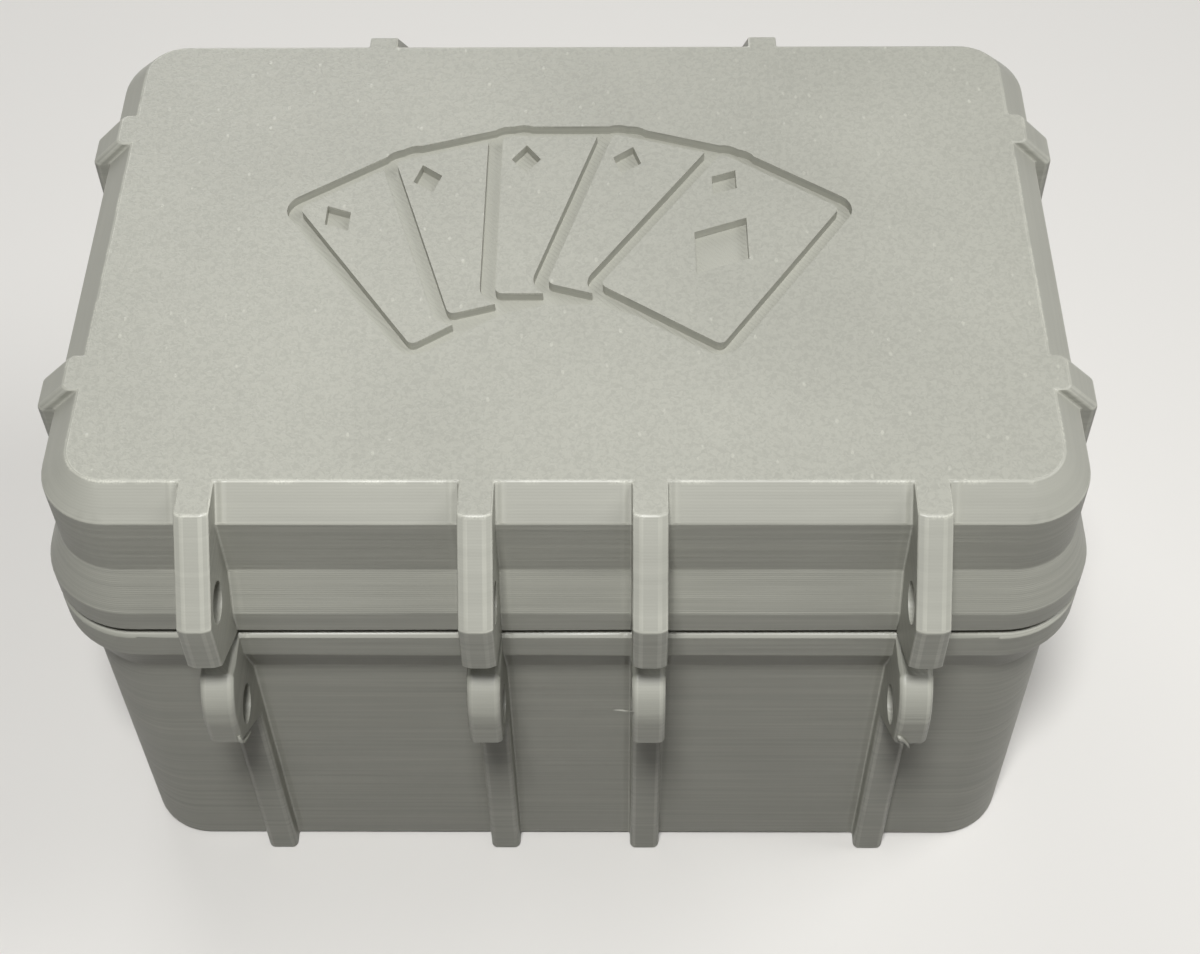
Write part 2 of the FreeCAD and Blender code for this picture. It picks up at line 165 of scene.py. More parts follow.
class NodeTree:
    def __init__(self, tree):
        self.tree = tree

    def node(self, kind, settings=None, inputs=None, out=0):
        made = self.tree.nodes.new(kind)
        for name, value in (settings or {}).items():
            setattr(made, name, value)
        for key, value in (inputs or {}).items():
            for item in value if isinstance(value, list) else [value]:
                self.feed(made.inputs[key], item)
        if made.outputs:
            return Flow(self, made.outputs[out])

    def feed(self, socket, value):
        if isinstance(value, Flow):
            self.tree.links.new(value.socket, socket)
        else:
            socket.default_value = value

    def maths(self, operation, *values):
        return self.node("ShaderNodeMath", {"operation": operation}, dict(enumerate(values)))


class Paint(NodeTree):
    # the nodes of a material or of the world
    def __init__(self, name, store="materials", shader="Principled BSDF"):
        self.owner = getattr(bpy.data, store).new(name)
        self.owner.use_nodes = True
        super().__init__(self.owner.node_tree)
        self.shader = self.tree.nodes[shader]

    @cached_property
    def place(self):
        return self.node("ShaderNodeTexCoord", out="Object")

    @cached_property
    def facing(self):
        return self.node("ShaderNodeTexCoord", out="Normal")

    def seen(self):
        # 1 where the eye looks, straight or by way of gloss or glass, and 0 for light that bounces
        rays = ("Is Camera Ray", "Is Glossy Ray", "Is Transmission Ray")
        camera, glossy, through = [self.node("ShaderNodeLightPath", out=ray) for ray in rays]
        return camera.most(glossy).most(through)

    def axes(self, vector):
        return [self.node("ShaderNodeSeparateXYZ", None, {0: vector}, out=axis) for axis in "XYZ"]

    def stretched(self, scales):
        inputs = {0: self.place, 1: scales}
        return self.node("ShaderNodeVectorMath", {"operation": "MULTIPLY"}, inputs)

    def noise(self, scales, detail=2.0, roughness=0.5, twist=0.0):
        inputs = {"Vector": self.stretched(scales), "Scale": 1.0, "Detail": detail, "Roughness": roughness,
                  "Distortion": twist}
        return self.node("ShaderNodeTexNoise", {"noise_dimensions": "3D"}, inputs)

    def blendColour(self, factor, first, second):
        settings = {"data_type": "RGBA", "clamp_factor": True}
        # the colour sockets of this node come after its number and vector sockets
        return self.node("ShaderNodeMix", settings, {0: factor, 6: first, 7: second}, out=2)

    def scaleColour(self, tone, factor):
        settings = {"data_type": "RGBA", "blend_type": "MULTIPLY"}
        grey = self.node("ShaderNodeCombineXYZ", None, {0: factor, 1: factor, 2: factor})
        return self.node("ShaderNodeMix", settings, {0: 1.0, 6: tone, 7: grey}, out=2)

    def bump(self, height, distance):
        return self.node("ShaderNodeBump", None, {"Height": height, "Distance": distance, "Strength": 1.0})

    def finish(self, links, constants):
        for name, value in {**constants, **links}.items():
            self.feed(self.shader.inputs[name], value)
        return self.owner


def colour(red, green, blue):
    # sRGB bytes to the linear colour that a shader takes
    def linear(byte):
        share = byte / 255
        return share / 12.92 if share <= 0.04045 else ((share + 0.055) / 1.055) ** 2.4
    return (linear(red), linear(green), linear(blue), 1.0)


# Printed plastic of the lid and the base

printLook = {
    "tone": colour(168, 168, 158),
    "gapShadeTone": colour(135, 134, 125),      # painted shade in the gaps between layers
    "gapShadeSpan": (0.35, 0.25),                # width of a gap and how far its painted shade darkens
    "roughness": 0.46,
    "specular": 0.5,
    "levelFacing": (0.93, 0.985),           # how far a face looks up or down
    "slopeFacing": (0.25, 0.60),
    "onSlopes": 0.30,                       # layer marks that are left on slopes
    "plateSkin": (-0.12 * mm, -0.05 * mm),  # depth of the face that lay on the printing plate
    "layerHeight": 0.2 * mm,
    "layerDepth": 0.012 * mm,
    "streakScale": (40, 40, 2300),
    "streakDepth": 0.022 * mm,
    "streakTone": 0.46,
    "bandScale": (18, 18, 640),
    "bandDepth": 0.040 * mm,
    "bandTone": (0.96, 1.03),
    "bandGloss": 0.16,
    "cloudScale": (60, 60, 60),
    "cloudTone": (0.97, 1.02),
    "roadWidth": 0.45 * mm,
    "roadDepth": 0.030 * mm,
    "grainSize": 0.50 * mm,
    "grainDepth": 0.050 * mm,
    "pitLevels": (0.60, 0.36),
    "pitShadeTone": 0.11,
    "grainGloss": 0.30,
    "speckFineness": 2.6,                   # times finer than the grain
    "speckPitch": (1.4 * mm, 2.4 * mm),
    "speckSize": (0.16, 0.064),             # where a speck starts and where it is full
    "speckShare": (0.45, 0.60),
    "speckDepth": 0.025 * mm,
    "speckGlintTone": 0.22,
    "speckGloss": 0.16,
    "ribMiddle": 20.4 * mm,
    "ribSpread": 12.6 * mm,
    "echoPlace": 2.35 * mm,
    "echoWidth": 0.45 * mm,
    "echoFacing": (0.3, 0.5),
    "echoOnWalls": 0.25,                    # share of the ripple that upright walls show
    "echoDepth": 0.055 * mm,
    "echoDip": 0.7,
    "echoLightAndShade": 0.09,
    "beadHighlightSkin": (-0.34 * mm, -0.10 * mm),
    "beadHighlightLevels": (0.30, 0.62),
    "patchScale": (330, 330, 330),
    "patchLevels": (0.42, 0.58),
    "edgeHighlightLevels": (0.32, 0.60),
    "edgeHighlightLeast": 0.25,
    "edgeHighlightTone": 0.18,
    "edgeGloss": 0.10,
}


def printedPlastic(name, plateHeight, plateUp, beadHighlight):
    # plateHeight is the face that lay on the textured printing plate
    look = printLook
    paint = Paint(name)
    x, y, z = paint.axes(paint.place)
    facingY, facingZ = paint.axes(paint.facing)[1:]
    lie = abs(facingZ)
    flat = lie.ramp(*look["levelFacing"])
    upright = lie.ramp(*look["slopeFacing"], 1.0, look["onSlopes"])
    onPlate = (z - plateHeight) * (1 if plateUp else -1)
    plate = flat * onPlate.ramp(*look["plateSkin"])

    # beads of plastic laid one on the other, drawn out along the walls
    bead = (z / look["layerHeight"]).fraction() * 2 - 1
    layers = 1 - bead * bead
    streaks = paint.noise(look["streakScale"], detail=2.0, roughness=0.6)
    bands = paint.noise(look["bandScale"], detail=3.0, roughness=0.6)
    # roads of plastic side by side on level faces
    road = ((x + y) / (look["roadWidth"] * math.sqrt(2))).fraction() * 2 - 1
    roads = 1 - road * road
    # pits and specks that the plate leaves
    fine = 1 / look["grainSize"]
    finer = fine * look["speckFineness"]
    grain = paint.noise((fine, fine, fine), detail=2.5, roughness=0.6, twist=0.9)
    speckle = paint.noise((finer, finer, finer), detail=1.0)
    across, along = look["speckPitch"]
    spots = {"Vector": paint.stretched((1 / across, 1 / along, 1 / across)), "Scale": 1.0}
    nearness = paint.node("ShaderNodeTexVoronoi", None, spots)
    chance = paint.axes(paint.node("ShaderNodeTexVoronoi", None, spots, out="Color"))[0]
    specks = nearness.ramp(*look["speckSize"]) * chance.ramp(*look["speckShare"])
    # the nozzle's swing just past a latch rib leaves an upright ripple
    fromRib = abs(abs(abs(x) - look["ribMiddle"]) - look["ribSpread"])
    frontal = (facingY * -1).ramp(*look["echoFacing"]) * (1 - upright * (1 - look["echoOnWalls"]))
    fromCrest = fromRib - look["echoPlace"]
    crest = abs(fromCrest).ramp(look["echoWidth"], 0.0) * frontal
    dip = abs(fromCrest + look["echoWidth"]).ramp(look["echoWidth"], 0.0) * frontal

    drawn = layers * look["layerDepth"] + streaks * look["streakDepth"] + bands * look["bandDepth"]
    ripple = (crest - dip * look["echoDip"]) * look["echoDepth"]
    flatRelief = roads * look["roadDepth"] + bands * look["bandDepth"]
    plateRelief = grain * look["grainDepth"] + (speckle + specks) * look["speckDepth"]
    relief = (drawn * upright + ripple) * (1 - flat) + flatRelief * (flat - plate) + plateRelief * plate
    normal = paint.bump(relief / mm, mm)

    cloud = paint.noise(look["cloudScale"], detail=4.0)
    shade = bands.ramp(*middling, *look["bandTone"]) * cloud.ramp(*middling, *look["cloudTone"])
    shade = shade * (1 + (streaks - 0.5) * upright * (1 - flat) * look["streakTone"])
    # painted shade in the pits of the plate face
    pitShade = grain.ramp(*look["pitLevels"], 0.0, look["pitShadeTone"])
    # painted glints on the specks of the plate face
    shade = shade * (1 - plate * pitShade) * (1 + plate * specks * look["speckGlintTone"])
    # painted highlight on the ripple's crest and painted shade in its dip
    shade = shade * (1 + (crest - dip) * (1 - flat) * look["echoLightAndShade"])
    if beadHighlight:
        # the rim of the plate's face, pressed out into a bead, gets a patchy painted highlight
        rim = onPlate.ramp(*look["beadHighlightSkin"]) * (1 - flat)
        patchy = paint.noise(look["patchScale"], detail=2.0).ramp(*look["patchLevels"])
        shade = shade * (1 + rim * speckle.ramp(*look["beadHighlightLevels"]) * patchy * beadHighlight)
    # the rounded edges get a patchy painted highlight and a little more gloss
    edges = paint.node("ShaderNodeAttribute", {"attribute_name": "edge"}, out="Fac")
    paintedEdgeLight = edges * cloud.ramp(*look["edgeHighlightLevels"], look["edgeHighlightLeast"], 1.0)
    shade = shade * (1 + paintedEdgeLight * look["edgeHighlightTone"])
    # painted shade in the gaps between layers, full on walls and fainter on slopes
    gapWidth, gapShadeShare = look["gapShadeSpan"]
    layerGapShade = layers.ramp(0.0, gapWidth, gapShadeShare, 0.0) * (upright - flat * look["onSlopes"])
    tone = paint.scaleColour(paint.blendColour(layerGapShade, look["tone"], look["gapShadeTone"]), shade)
    gloss = look["roughness"] - paintedEdgeLight * look["edgeGloss"] + (bands - 0.5) * look["bandGloss"]
    gloss = gloss + ((speckle - 0.5) * look["grainGloss"] - specks * look["speckGloss"]) * plate
    links = {"Base Color": tone, "Roughness": gloss, "Normal": normal}
    return paint.finish(links, {"Specular IOR Level": look["specular"]})


lidPlastic = printedPlastic("lidPlastic", lidTop, plateUp=True, beadHighlight=0.30)
basePlastic = printedPlastic("basePlastic", baseFoot, plateUp=False, beadHighlight=0.0)
print("materials of the shells made")


# Lid and base: the CAD solids with softened print edges, and the lid's engraving

shellEdges = {
    "levelAngle": 0.2,      # faces that turn less than this are one face
    "round": 0.20 * mm,
    "sharpAngle": 14,
    "shortest": 0.45 * mm,  # edges that meet a shorter one stay sharp
    "stray": 0.01 * mm,
    "strayPasses": 40,
    "creaseAngle": 25,
    "roundCrease": 48,
}
fan = {
    "card": (17.0 * mm, 25.0 * mm),
    "corner": 2.2 * mm,
    "cornerSteps": 6,
    "turns": (34, 17, 0, -17, -34),
    "reach": 27.0 * mm,
    "middle": 22.6 * mm,
    "stroke": 1.5 * mm,
    "depth": 1.0 * mm,
    "depthStep": 0.03 * mm,
    "overreach": 1.0 * mm,
    "pip": (1.5 * mm, 2.1 * mm),
    "pipInset": (4.0 * mm, 4.9 * mm),
    "bigPip": (3.2 * mm, 4.6 * mm),
}


def shellCopy(node, name):
    # the CAD solid with its flat faces whole, its sharp edges rounded and the rounds marked
    look = shellEdges
    bm = bmesh.new()
    bm.from_mesh(nodes[node].data)
    bmesh.ops.remove_doubles(bm, verts=bm.verts, dist=weldReach)
    levelLimit = math.radians(look["levelAngle"])
    bmesh.ops.dissolve_limit(bm, angle_limit=levelLimit, verts=bm.verts, edges=bm.edges)
    mark = bm.faces.layers.float.new("edge")
    facing = bm.faces.layers.float_vector.new("facing")
    offset = bm.faces.layers.float.new("offset")
    tiny = {vert for edge in bm.edges if edge.calc_length() < look["shortest"] for vert in edge.verts}
    sharpLimit = math.radians(look["sharpAngle"])
    sharp = []
    for edge in bm.edges:
        if edge.is_manifold and edge.calc_face_angle() > sharpLimit and not tiny & set(edge.verts):
            sharp.append(edge)
    for face in bm.faces:
        face[facing] = face.normal
        face[offset] = face.normal.dot(face.verts[0].co)
    rounds = bmesh.ops.bevel(bm, geom=sharp, offset=look["round"], offset_type="OFFSET", segments=2,
                             profile=0.5, affect="EDGES", clamp_overlap=False, face_strength_mode="ALL")
    for face in rounds["faces"]:
        face[mark] = 1.0
    # corners where many edges meet can be thrown off their faces; they go back to them
    strays = 0
    for vert in bm.verts:
        planes = [(face[facing], face[offset]) for face in vert.link_faces if not face[mark]]
        if all(abs(depth - normal.dot(vert.co)) < look["stray"] for normal, depth in planes):
            continue
        strays += 1
        for normal, depth in planes * look["strayPasses"]:
            vert.co += normal * (depth - normal.dot(vert.co))
    bm.faces.layers.float_vector.remove(facing)
    bm.faces.layers.float.remove(bm.faces.layers.float["offset"])
    mesh = bpy.data.meshes.new(name)
    bm.to_mesh(mesh)
    bm.free()
    # the normals that came with the CAD mesh no longer fit
    mesh.attributes.remove(mesh.attributes["custom_normal"])
    print(name, "rounded:", len(sharp), "edges,", strays, "corners brought back")
    return linkObject(name, mesh)


def levelNormals(made):
    # creases stay sharp, and rounds run smoothly into the faces beside them
    bm = bmesh.new()
    bm.from_mesh(made.data)
    mark = bm.faces.layers.float["edge"]
    for face in bm.faces:
        face.smooth = True
    for edge in bm.edges:
        isRound = any(face[mark] for face in edge.link_faces)
        limit = math.radians(shellEdges["roundCrease" if isRound else "creaseAngle"])
        edge.smooth = edge.is_manifold and edge.calc_face_angle() < limit
    bm.to_mesh(made.data)
    bm.free()
    level = made.modifiers.new("level", "WEIGHTED_NORMAL")
    level.keep_sharp = True
    level.use_face_influence = True


def roundedOutline(wide, long, radius, steps):
    points = []
    for signX, signY, start in ((1, -1, -90), (1, 1, 0), (-1, 1, 90), (-1, -1, 180)):
        centre = Vector((signX * (wide / 2 - radius), signY * (long / 2 - radius)))
        for step in range(steps + 1):
            turn = math.radians(start + 90 * step / steps)
            points.append(centre + radius * Vector((math.cos(turn), math.sin(turn))))
    return points


def prism(name, points, low, high):
    count = len(points)
    corners = [(p.x, p.y, level) for level in (low, high) for p in points]
    sides = [(i, (i + 1) % count, count + (i + 1) % count, count + i) for i in range(count)]
    ends = [tuple(reversed(range(count))), tuple(range(count, 2 * count))]
    return meshFrom(name, corners, sides + ends)


def ringPrism(name, outer, inner, low, high):
    count = len(outer)
    corners = [(p.x, p.y, level) for level in (low, high) for loop in (outer, inner) for p in loop]
    lowOuter, lowInner, highOuter, highInner = (count * loop for loop in range(4))
    faces = []
    for i in range(count):
        j = (i + 1) % count
        faces.append((lowOuter + i, lowOuter + j, highOuter + j, highOuter + i))
        faces.append((lowInner + j, lowInner + i, highInner + i, highInner + j))
        faces.append((lowOuter + j, lowOuter + i, lowInner + i, lowInner + j))
        faces.append((highOuter + i, highOuter + j, highInner + j, highInner + i))
    return meshFrom(name, corners, faces)


def diamond(middle, half):
    steps = ((half[0], 0), (0, half[1]), (-half[0], 0), (0, -half[1]))
    return [middle + Vector(step) for step in steps]


def fanned(points, turn):
    # takes a card's outline to its place in the fan
    turned = Matrix.Rotation(math.radians(turn), 2)
    return [turned @ (p + Vector((0, fan["reach"]))) - Vector((0, fan["middle"])) for p in points]


def engraveFan(lid):
    wide, long = fan["card"]
    over = fan["overreach"]
    low, high = lidTop - fan["depth"], lidTop + over
    steps = fan["cornerSteps"]
    inset = fan["stroke"]
    outer = roundedOutline(wide, long, fan["corner"], steps)
    middle = roundedOutline(wide - inset, long - inset, fan["corner"] - inset / 2, steps)
    inner = roundedOutline(wide - 2 * inset, long - 2 * inset, fan["corner"] - inset, steps)
    turns = fan["turns"]
    insetX, insetY = fan["pipInset"]
    cornerPip = diamond(Vector((-wide / 2 + insetX, long / 2 - insetY)), fan["pip"])
    for order, turn in enumerate(turns):
        # each card is cut a hair deeper than the one it covers
        floor = low - order * fan["depthStep"]
        groove = ringPrism("groove", fanned(outer, turn), fanned(inner, turn), floor, high)
        for above in turns[order + 1:]:
            groove = cutAway(groove, prism("cover", fanned(middle, above), floor - over, high + over))
        lid = cutAway(lid, groove)
        lid = cutAway(lid, prism("pip", fanned(cornerPip, turn), low, high))
    bigPip = diamond(Vector((0, 0)), fan["bigPip"])
    return cutAway(lid, prism("pip", fanned(bigPip, turns[-1]), low, high))


lidPiece = engraveFan(shellCopy("lid_shell", "lid_printed"))
levelNormals(lidPiece)
paintWith(lidPiece, lidPlastic)
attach(lidPiece, "lid")
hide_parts("lid_shell")

basePiece = shellCopy("base_shell", "base_printed")
levelNormals(basePiece)
paintWith(basePiece, basePlastic)
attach(basePiece, "base")
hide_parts("base_shell")
print("shells:", len(lidPiece.data.polygons), "and", len(basePiece.data.polygons), "faces")


# Strands of plastic that the nozzle left on the base's latch lugs

strandLook = {
    "around": 8,
    "steps": 5,
    "creaseAngle": 60,
    "sideways": (0.3, 0.2, 1.0),  # no strand runs this way, so it can turn the rings
    # place and radius at each knot, in millimetres
    "leftDroop": ((-31.6, -41.1, 37.2, 0.16), (-31.5, -41.25, 36.7, 0.24), (-31.35, -41.0, 35.9, 0.15),
                  (-31.3, -40.0, 34.9, 0.10), (-31.35, -38.3, 33.2, 0.06)),
    "rightDroop": ((31.7, -41.1, 37.5, 0.14), (31.9, -41.3, 37.3, 0.26), (32.4, -41.36, 36.8, 0.16),
                   (32.75, -41.4, 36.2, 0.13), (32.95, -41.4, 35.6, 0.06)),
    "rightThread": ((31.9, -41.25, 37.2, 0.12), (32.1, -41.36, 36.4, 0.10), (32.3, -41.4, 35.5, 0.04)),
    "whisker": ((6.4, -40.9, 41.6, 0.03), (5.8, -40.95, 41.7, 0.05), (5.2, -40.95, 41.85, 0.11),
                (4.3, -41.0, 42.0, 0.02)),
}


def easedKnot(knots, t):
    # a point on the smooth curve through four knots, between the second and the third
    shares = (((2 - t) * t - 1) * t / 2, ((3 * t - 5) * t * t + 2) / 2,
              ((4 - 3 * t) * t + 1) * t / 2, (t - 1) * t * t / 2)
    return sum((Vector(knot) * share for knot, share in zip(knots, shares)), Vector((0, 0, 0, 0)))


def strandTube(knots, points, faces):
    # one tapered tube with closed ends through the knots
    around, steps = strandLook["around"], strandLook["steps"]
    ends = [knots[0], *knots, knots[-1]]
    rings = []
    for four in zip(ends, ends[1:], ends[2:], ends[3:]):
        rings += [easedKnot(four, step / steps) for step in range(steps)]
    rings.append(Vector(knots[-1]))
    first = len(points)
    last = first + (len(rings) - 1) * around
    for index, ring in enumerate(rings):
        following, earlier = rings[min(index + 1, len(rings) - 1)], rings[max(index - 1, 0)]
        ahead = (following - earlier).to_3d().normalized()
        side = ahead.cross(Vector(strandLook["sideways"])).normalized()
        rise = side.cross(ahead)
        for spoke in range(around):
            turn = 2 * math.pi * spoke / around
            points.append((ring.to_3d() + ring.w * (math.cos(turn) * side + math.sin(turn) * rise)) * mm)
    for start in range(first, last, around):
        for spoke in range(around):
            here, there = start + spoke, start + (spoke + 1) % around
            faces.append((here, there, there + around, here + around))
    faces.append(tuple(range(first, first + around))[::-1])
    faces.append(tuple(range(last, last + around)))


def printStrands():
    points, faces = [], []
    for name in ("leftDroop", "rightDroop", "rightThread", "whisker"):
        strandTube(strandLook[name], points, faces)
    made = meshFrom("print_strands", points, faces)
    shadeSmooth(made, strandLook["creaseAngle"])
    paintWith(made, basePlastic)
    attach(made, "base")
    return made


print("strands:", len(printStrands().data.polygons), "faces")


# Card stock: printed faces inside a pale border, pale cut edges

cardLook = {
    "paper": colour(238, 234, 224),
    "edge": colour(214, 206, 190),
    "border": 3.4 * mm,
    "corner": 3.0 * mm,
    "blur": 0.06 * mm,
    "faceFacing": (0.6, 0.8),
    "hatch": 1.5 * mm,
    "hatchLine": (0.05, 0.11),
    "hatchTone": 0.88,
    "pipPitch": 15.0 * mm,
    "pipWide": 5.2 * mm,
    "pipLong": 6.6 * mm,
    "pipRim": (1.02, 0.98),
    "fibreScale": (900, 900, 90),
    "fibreLevels": (0.2, 0.8),
    "fibreTone": (0.95, 1.02),
    "burrScale": (160, 160, 9000),
    "burrLevels": (0.25, 0.75),
    "burrTone": (0.72, 1.08),
    "linenScale": (2600, 2600, 2600),
    "linenGloss": 0.1,
    "relief": 0.012 * mm,
    "roughness": 0.36,
    "edgeRoughness": 0.4,  # added on the cut edges
}
inks = {
    "blue": colour(40, 96, 178),
    "green": colour(54, 140, 70),
    "yellow": colour(232, 186, 40),
    "red": colour(196, 48, 42),
    "wild": colour(44, 44, 48),
}
wildPips = [(-1.5, inks["blue"]), (-0.5, inks["green"]), (0.5, inks["yellow"]), (1.5, inks["red"])]


def cardStock(name, ink, node, pips):
    look = cardLook
    paint = Paint(name)
    x, y = paint.axes(paint.place)[:2]
    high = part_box(node)[1]
    overX = (abs(x) - (high.x - look["border"] - look["corner"])).most(0)
    overY = (abs(y) - (high.y - look["border"] - look["corner"])).most(0)
    away = (overX * overX + overY * overY) ** 0.5
    inked = away.ramp(look["corner"] + look["blur"], look["corner"] - look["blur"])
    face = abs(paint.axes(paint.facing)[2]).ramp(*look["faceFacing"])

    # crossed hatching in the printed field
    rise = ((x + y) / look["hatch"]).fraction()
    fall = ((x - y) / look["hatch"]).fraction()
    line = abs(rise - 0.5).least(abs(fall - 0.5)).ramp(*look["hatchLine"], look["hatchTone"], 1.0)
    field = paint.scaleColour(ink, line)
    for step, tint in pips:
        offX = abs(x - step * look["pipPitch"]) / look["pipWide"]
        offY = abs(y) / look["pipLong"]
        field = paint.blendColour((offX + offY).ramp(*look["pipRim"]), field, tint)
    fibres = paint.noise(look["fibreScale"], detail=3.0)
    paper = paint.scaleColour(look["paper"], fibres.ramp(*look["fibreLevels"], *look["fibreTone"]))
    printed = paint.blendColour(inked, paper, field)
    burr = paint.noise(look["burrScale"], detail=2.0)
    cut = paint.scaleColour(look["edge"], burr.ramp(*look["burrLevels"], *look["burrTone"]))
    tone = paint.blendColour(face, cut, printed)
    linen = paint.noise(look["linenScale"], detail=1.0)
    normal = paint.bump(linen * face + burr * (1 - face), look["relief"])
    gloss = look["roughness"] + (1 - face) * look["edgeRoughness"] + (linen - 0.5) * look["linenGloss"]
    return paint.finish({"Base Color": tone, "Roughness": gloss, "Normal": normal}, {})


# Cards: one node tree stacks a colour's cards, each a little out of line

stackLook = {
    "slip": (0.35 * mm, 0.25 * mm),
    "twist": 0.35,
    "corner": 4.0 * mm,
    "cornerSteps": 4,
    "thickness": 0.28 * mm,
    "colourCount": 36,
    "wildCount": 24,
    "firstSeed": 11,
}


class Grower(NodeTree):
    # a geometry tree with named inputs
    def __init__(self, name):
        super().__init__(bpy.data.node_groups.new(name, "GeometryNodeTree"))
        self.ids = {}

    def ask(self, name, kind):
        item = self.tree.interface.new_socket(name, in_out="INPUT", socket_type=f"NodeSocket{kind}")
        self.ids[name] = item.identifier
        return self.node("NodeGroupInput", out=name)

    def deliver(self, geometry):
        self.tree.interface.new_socket("Geometry", in_out="OUTPUT", socket_type="NodeSocketGeometry")
        self.node("NodeGroupOutput", None, {0: geometry})

    def grow(self, name, values):
        made = linkObject(name, bpy.data.meshes.new(name))
        rule = made.modifiers.new("rule", "NODES")
        rule.node_group = self.tree
        for key, value in values.items():
            rule[self.ids[key]] = value
        return settle(made)


def cardStackTree():
    grower = Grower("cardStack")
    kinds = {"Length": "Float", "Width": "Float", "Corner": "Float", "Corner Steps": "Int",
             "Thickness": "Float", "Count": "Int", "Foot": "Vector", "Step": "Vector",
             "Slip": "Vector", "Twist": "Vector", "Seed": "Int", "Paint": "Material"}
    ask = {name: grower.ask(name, kind) for name, kind in kinds.items()}
    # one card, closed on both faces
    outline = grower.node("GeometryNodeCurvePrimitiveQuadrilateral", None,
                          {"Width": ask["Length"], "Height": ask["Width"]})
    rounded = grower.node("GeometryNodeFilletCurve", {"mode": "POLY"},
                          {"Curve": outline, "Count": ask["Corner Steps"], "Radius": ask["Corner"]})
    sheet = grower.node("GeometryNodeFillCurve", {"mode": "NGONS"}, {"Curve": rounded})
    raised = grower.node("GeometryNodeExtrudeMesh", {"mode": "FACES"},
                         {"Mesh": sheet, "Offset Scale": ask["Thickness"], "Individual": False})
    back = grower.node("GeometryNodeFlipFaces", None, {"Mesh": sheet})
    both = grower.node("GeometryNodeJoinGeometry", None, {"Geometry": [raised, back]})
    card = grower.node("GeometryNodeMergeByDistance", None, {"Geometry": both, "Distance": weldReach})
    # a place for each card, then a small slip and twist
    line = grower.node("GeometryNodeMeshLine", {"mode": "OFFSET"},
                       {"Count": ask["Count"], "Start Location": ask["Foot"], "Offset": ask["Step"]})
    spread = {}
    for salt, name in enumerate(("Slip", "Twist"), start=1):
        lowest = grower.node("ShaderNodeVectorMath", {"operation": "SCALE"}, {0: ask[name], "Scale": -1.0})
        spread[name] = grower.node("FunctionNodeRandomValue", {"data_type": "FLOAT_VECTOR"},
                                   {0: lowest, 1: ask[name], "Seed": ask["Seed"] + salt})
    moved = grower.node("GeometryNodeSetPosition", None, {"Geometry": line, "Offset": spread["Slip"]})
    turn = grower.node("FunctionNodeEulerToRotation", None, {"Euler": spread["Twist"]})
    placed = grower.node("GeometryNodeInstanceOnPoints", None,
                         {"Points": moved, "Instance": card, "Rotation": turn})
    real = grower.node("GeometryNodeRealizeInstances", None, {"Geometry": placed})
    painted = grower.node("GeometryNodeSetMaterial", None, {"Geometry": real, "Material": ask["Paint"]})
    grower.deliver(painted)
    return grower


cardTree = cardStackTree()
for order, (name, ink) in enumerate(inks.items()):
    node = f"{name}_cards"
    isWild = name == "wild"
    low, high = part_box(node)
    count = stackLook["wildCount" if isWild else "colourCount"]
    step = (high.z - low.z - stackLook["thickness"]) / (count - 1)
    stack = cardTree.grow(f"{name}_card_stack", {
        "Length": high.x - low.x,
        "Width": high.y - low.y,
        "Corner": stackLook["corner"],
        "Corner Steps": stackLook["cornerSteps"],
        "Thickness": stackLook["thickness"],
        "Count": count,
        "Foot": (0.0, 0.0, low.z),
        "Step": (0.0, 0.0, step),
        "Slip": (*stackLook["slip"], 0.0),
        "Twist": (0.0, 0.0, math.radians(stackLook["twist"])),
        "Seed": stackLook["firstSeed"] + order,
        "Paint": cardStock(f"{name}Card", ink, node, wildPips if isWild else ()),
    })
    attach(stack, "base")
    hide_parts(node)
    print(node, "stacked:", count, "cards,", len(stack.data.polygons), "faces")


# Rules leaflet: one sheet folded to and fro

leafletLook = {
    "layers": 6,
    "paper": 0.13 * mm,
    "bendSteps": 5,
    "creaseAngle": 40,
    "tones": (colour(226, 222, 210), colour(236, 233, 224)),
    "cloudScale": (40, 40, 40),
    "fibreScale": (700, 700, 700),
    "fibreLevels": (0.25, 0.75),
    "fibreTone": (0.95, 1.02),
    "fibreDepth": 0.02 * mm,
    "roughness": 0.82,
    "fibreGloss": 0.1,
}


def leafletPaper():
    look = leafletLook
    paint = Paint("leafletPaper")
    fibres = paint.noise(look["fibreScale"], detail=4.0)
    cloud = paint.noise(look["cloudScale"], detail=2.0)
    sheet = paint.blendColour(cloud, *look["tones"])
    tone = paint.scaleColour(sheet, fibres.ramp(*look["fibreLevels"], *look["fibreTone"]))
    normal = paint.bump(fibres, look["fibreDepth"])
    gloss = look["roughness"] + (fibres - 0.5) * look["fibreGloss"]
    return paint.finish({"Base Color": tone, "Roughness": gloss, "Normal": normal}, {})


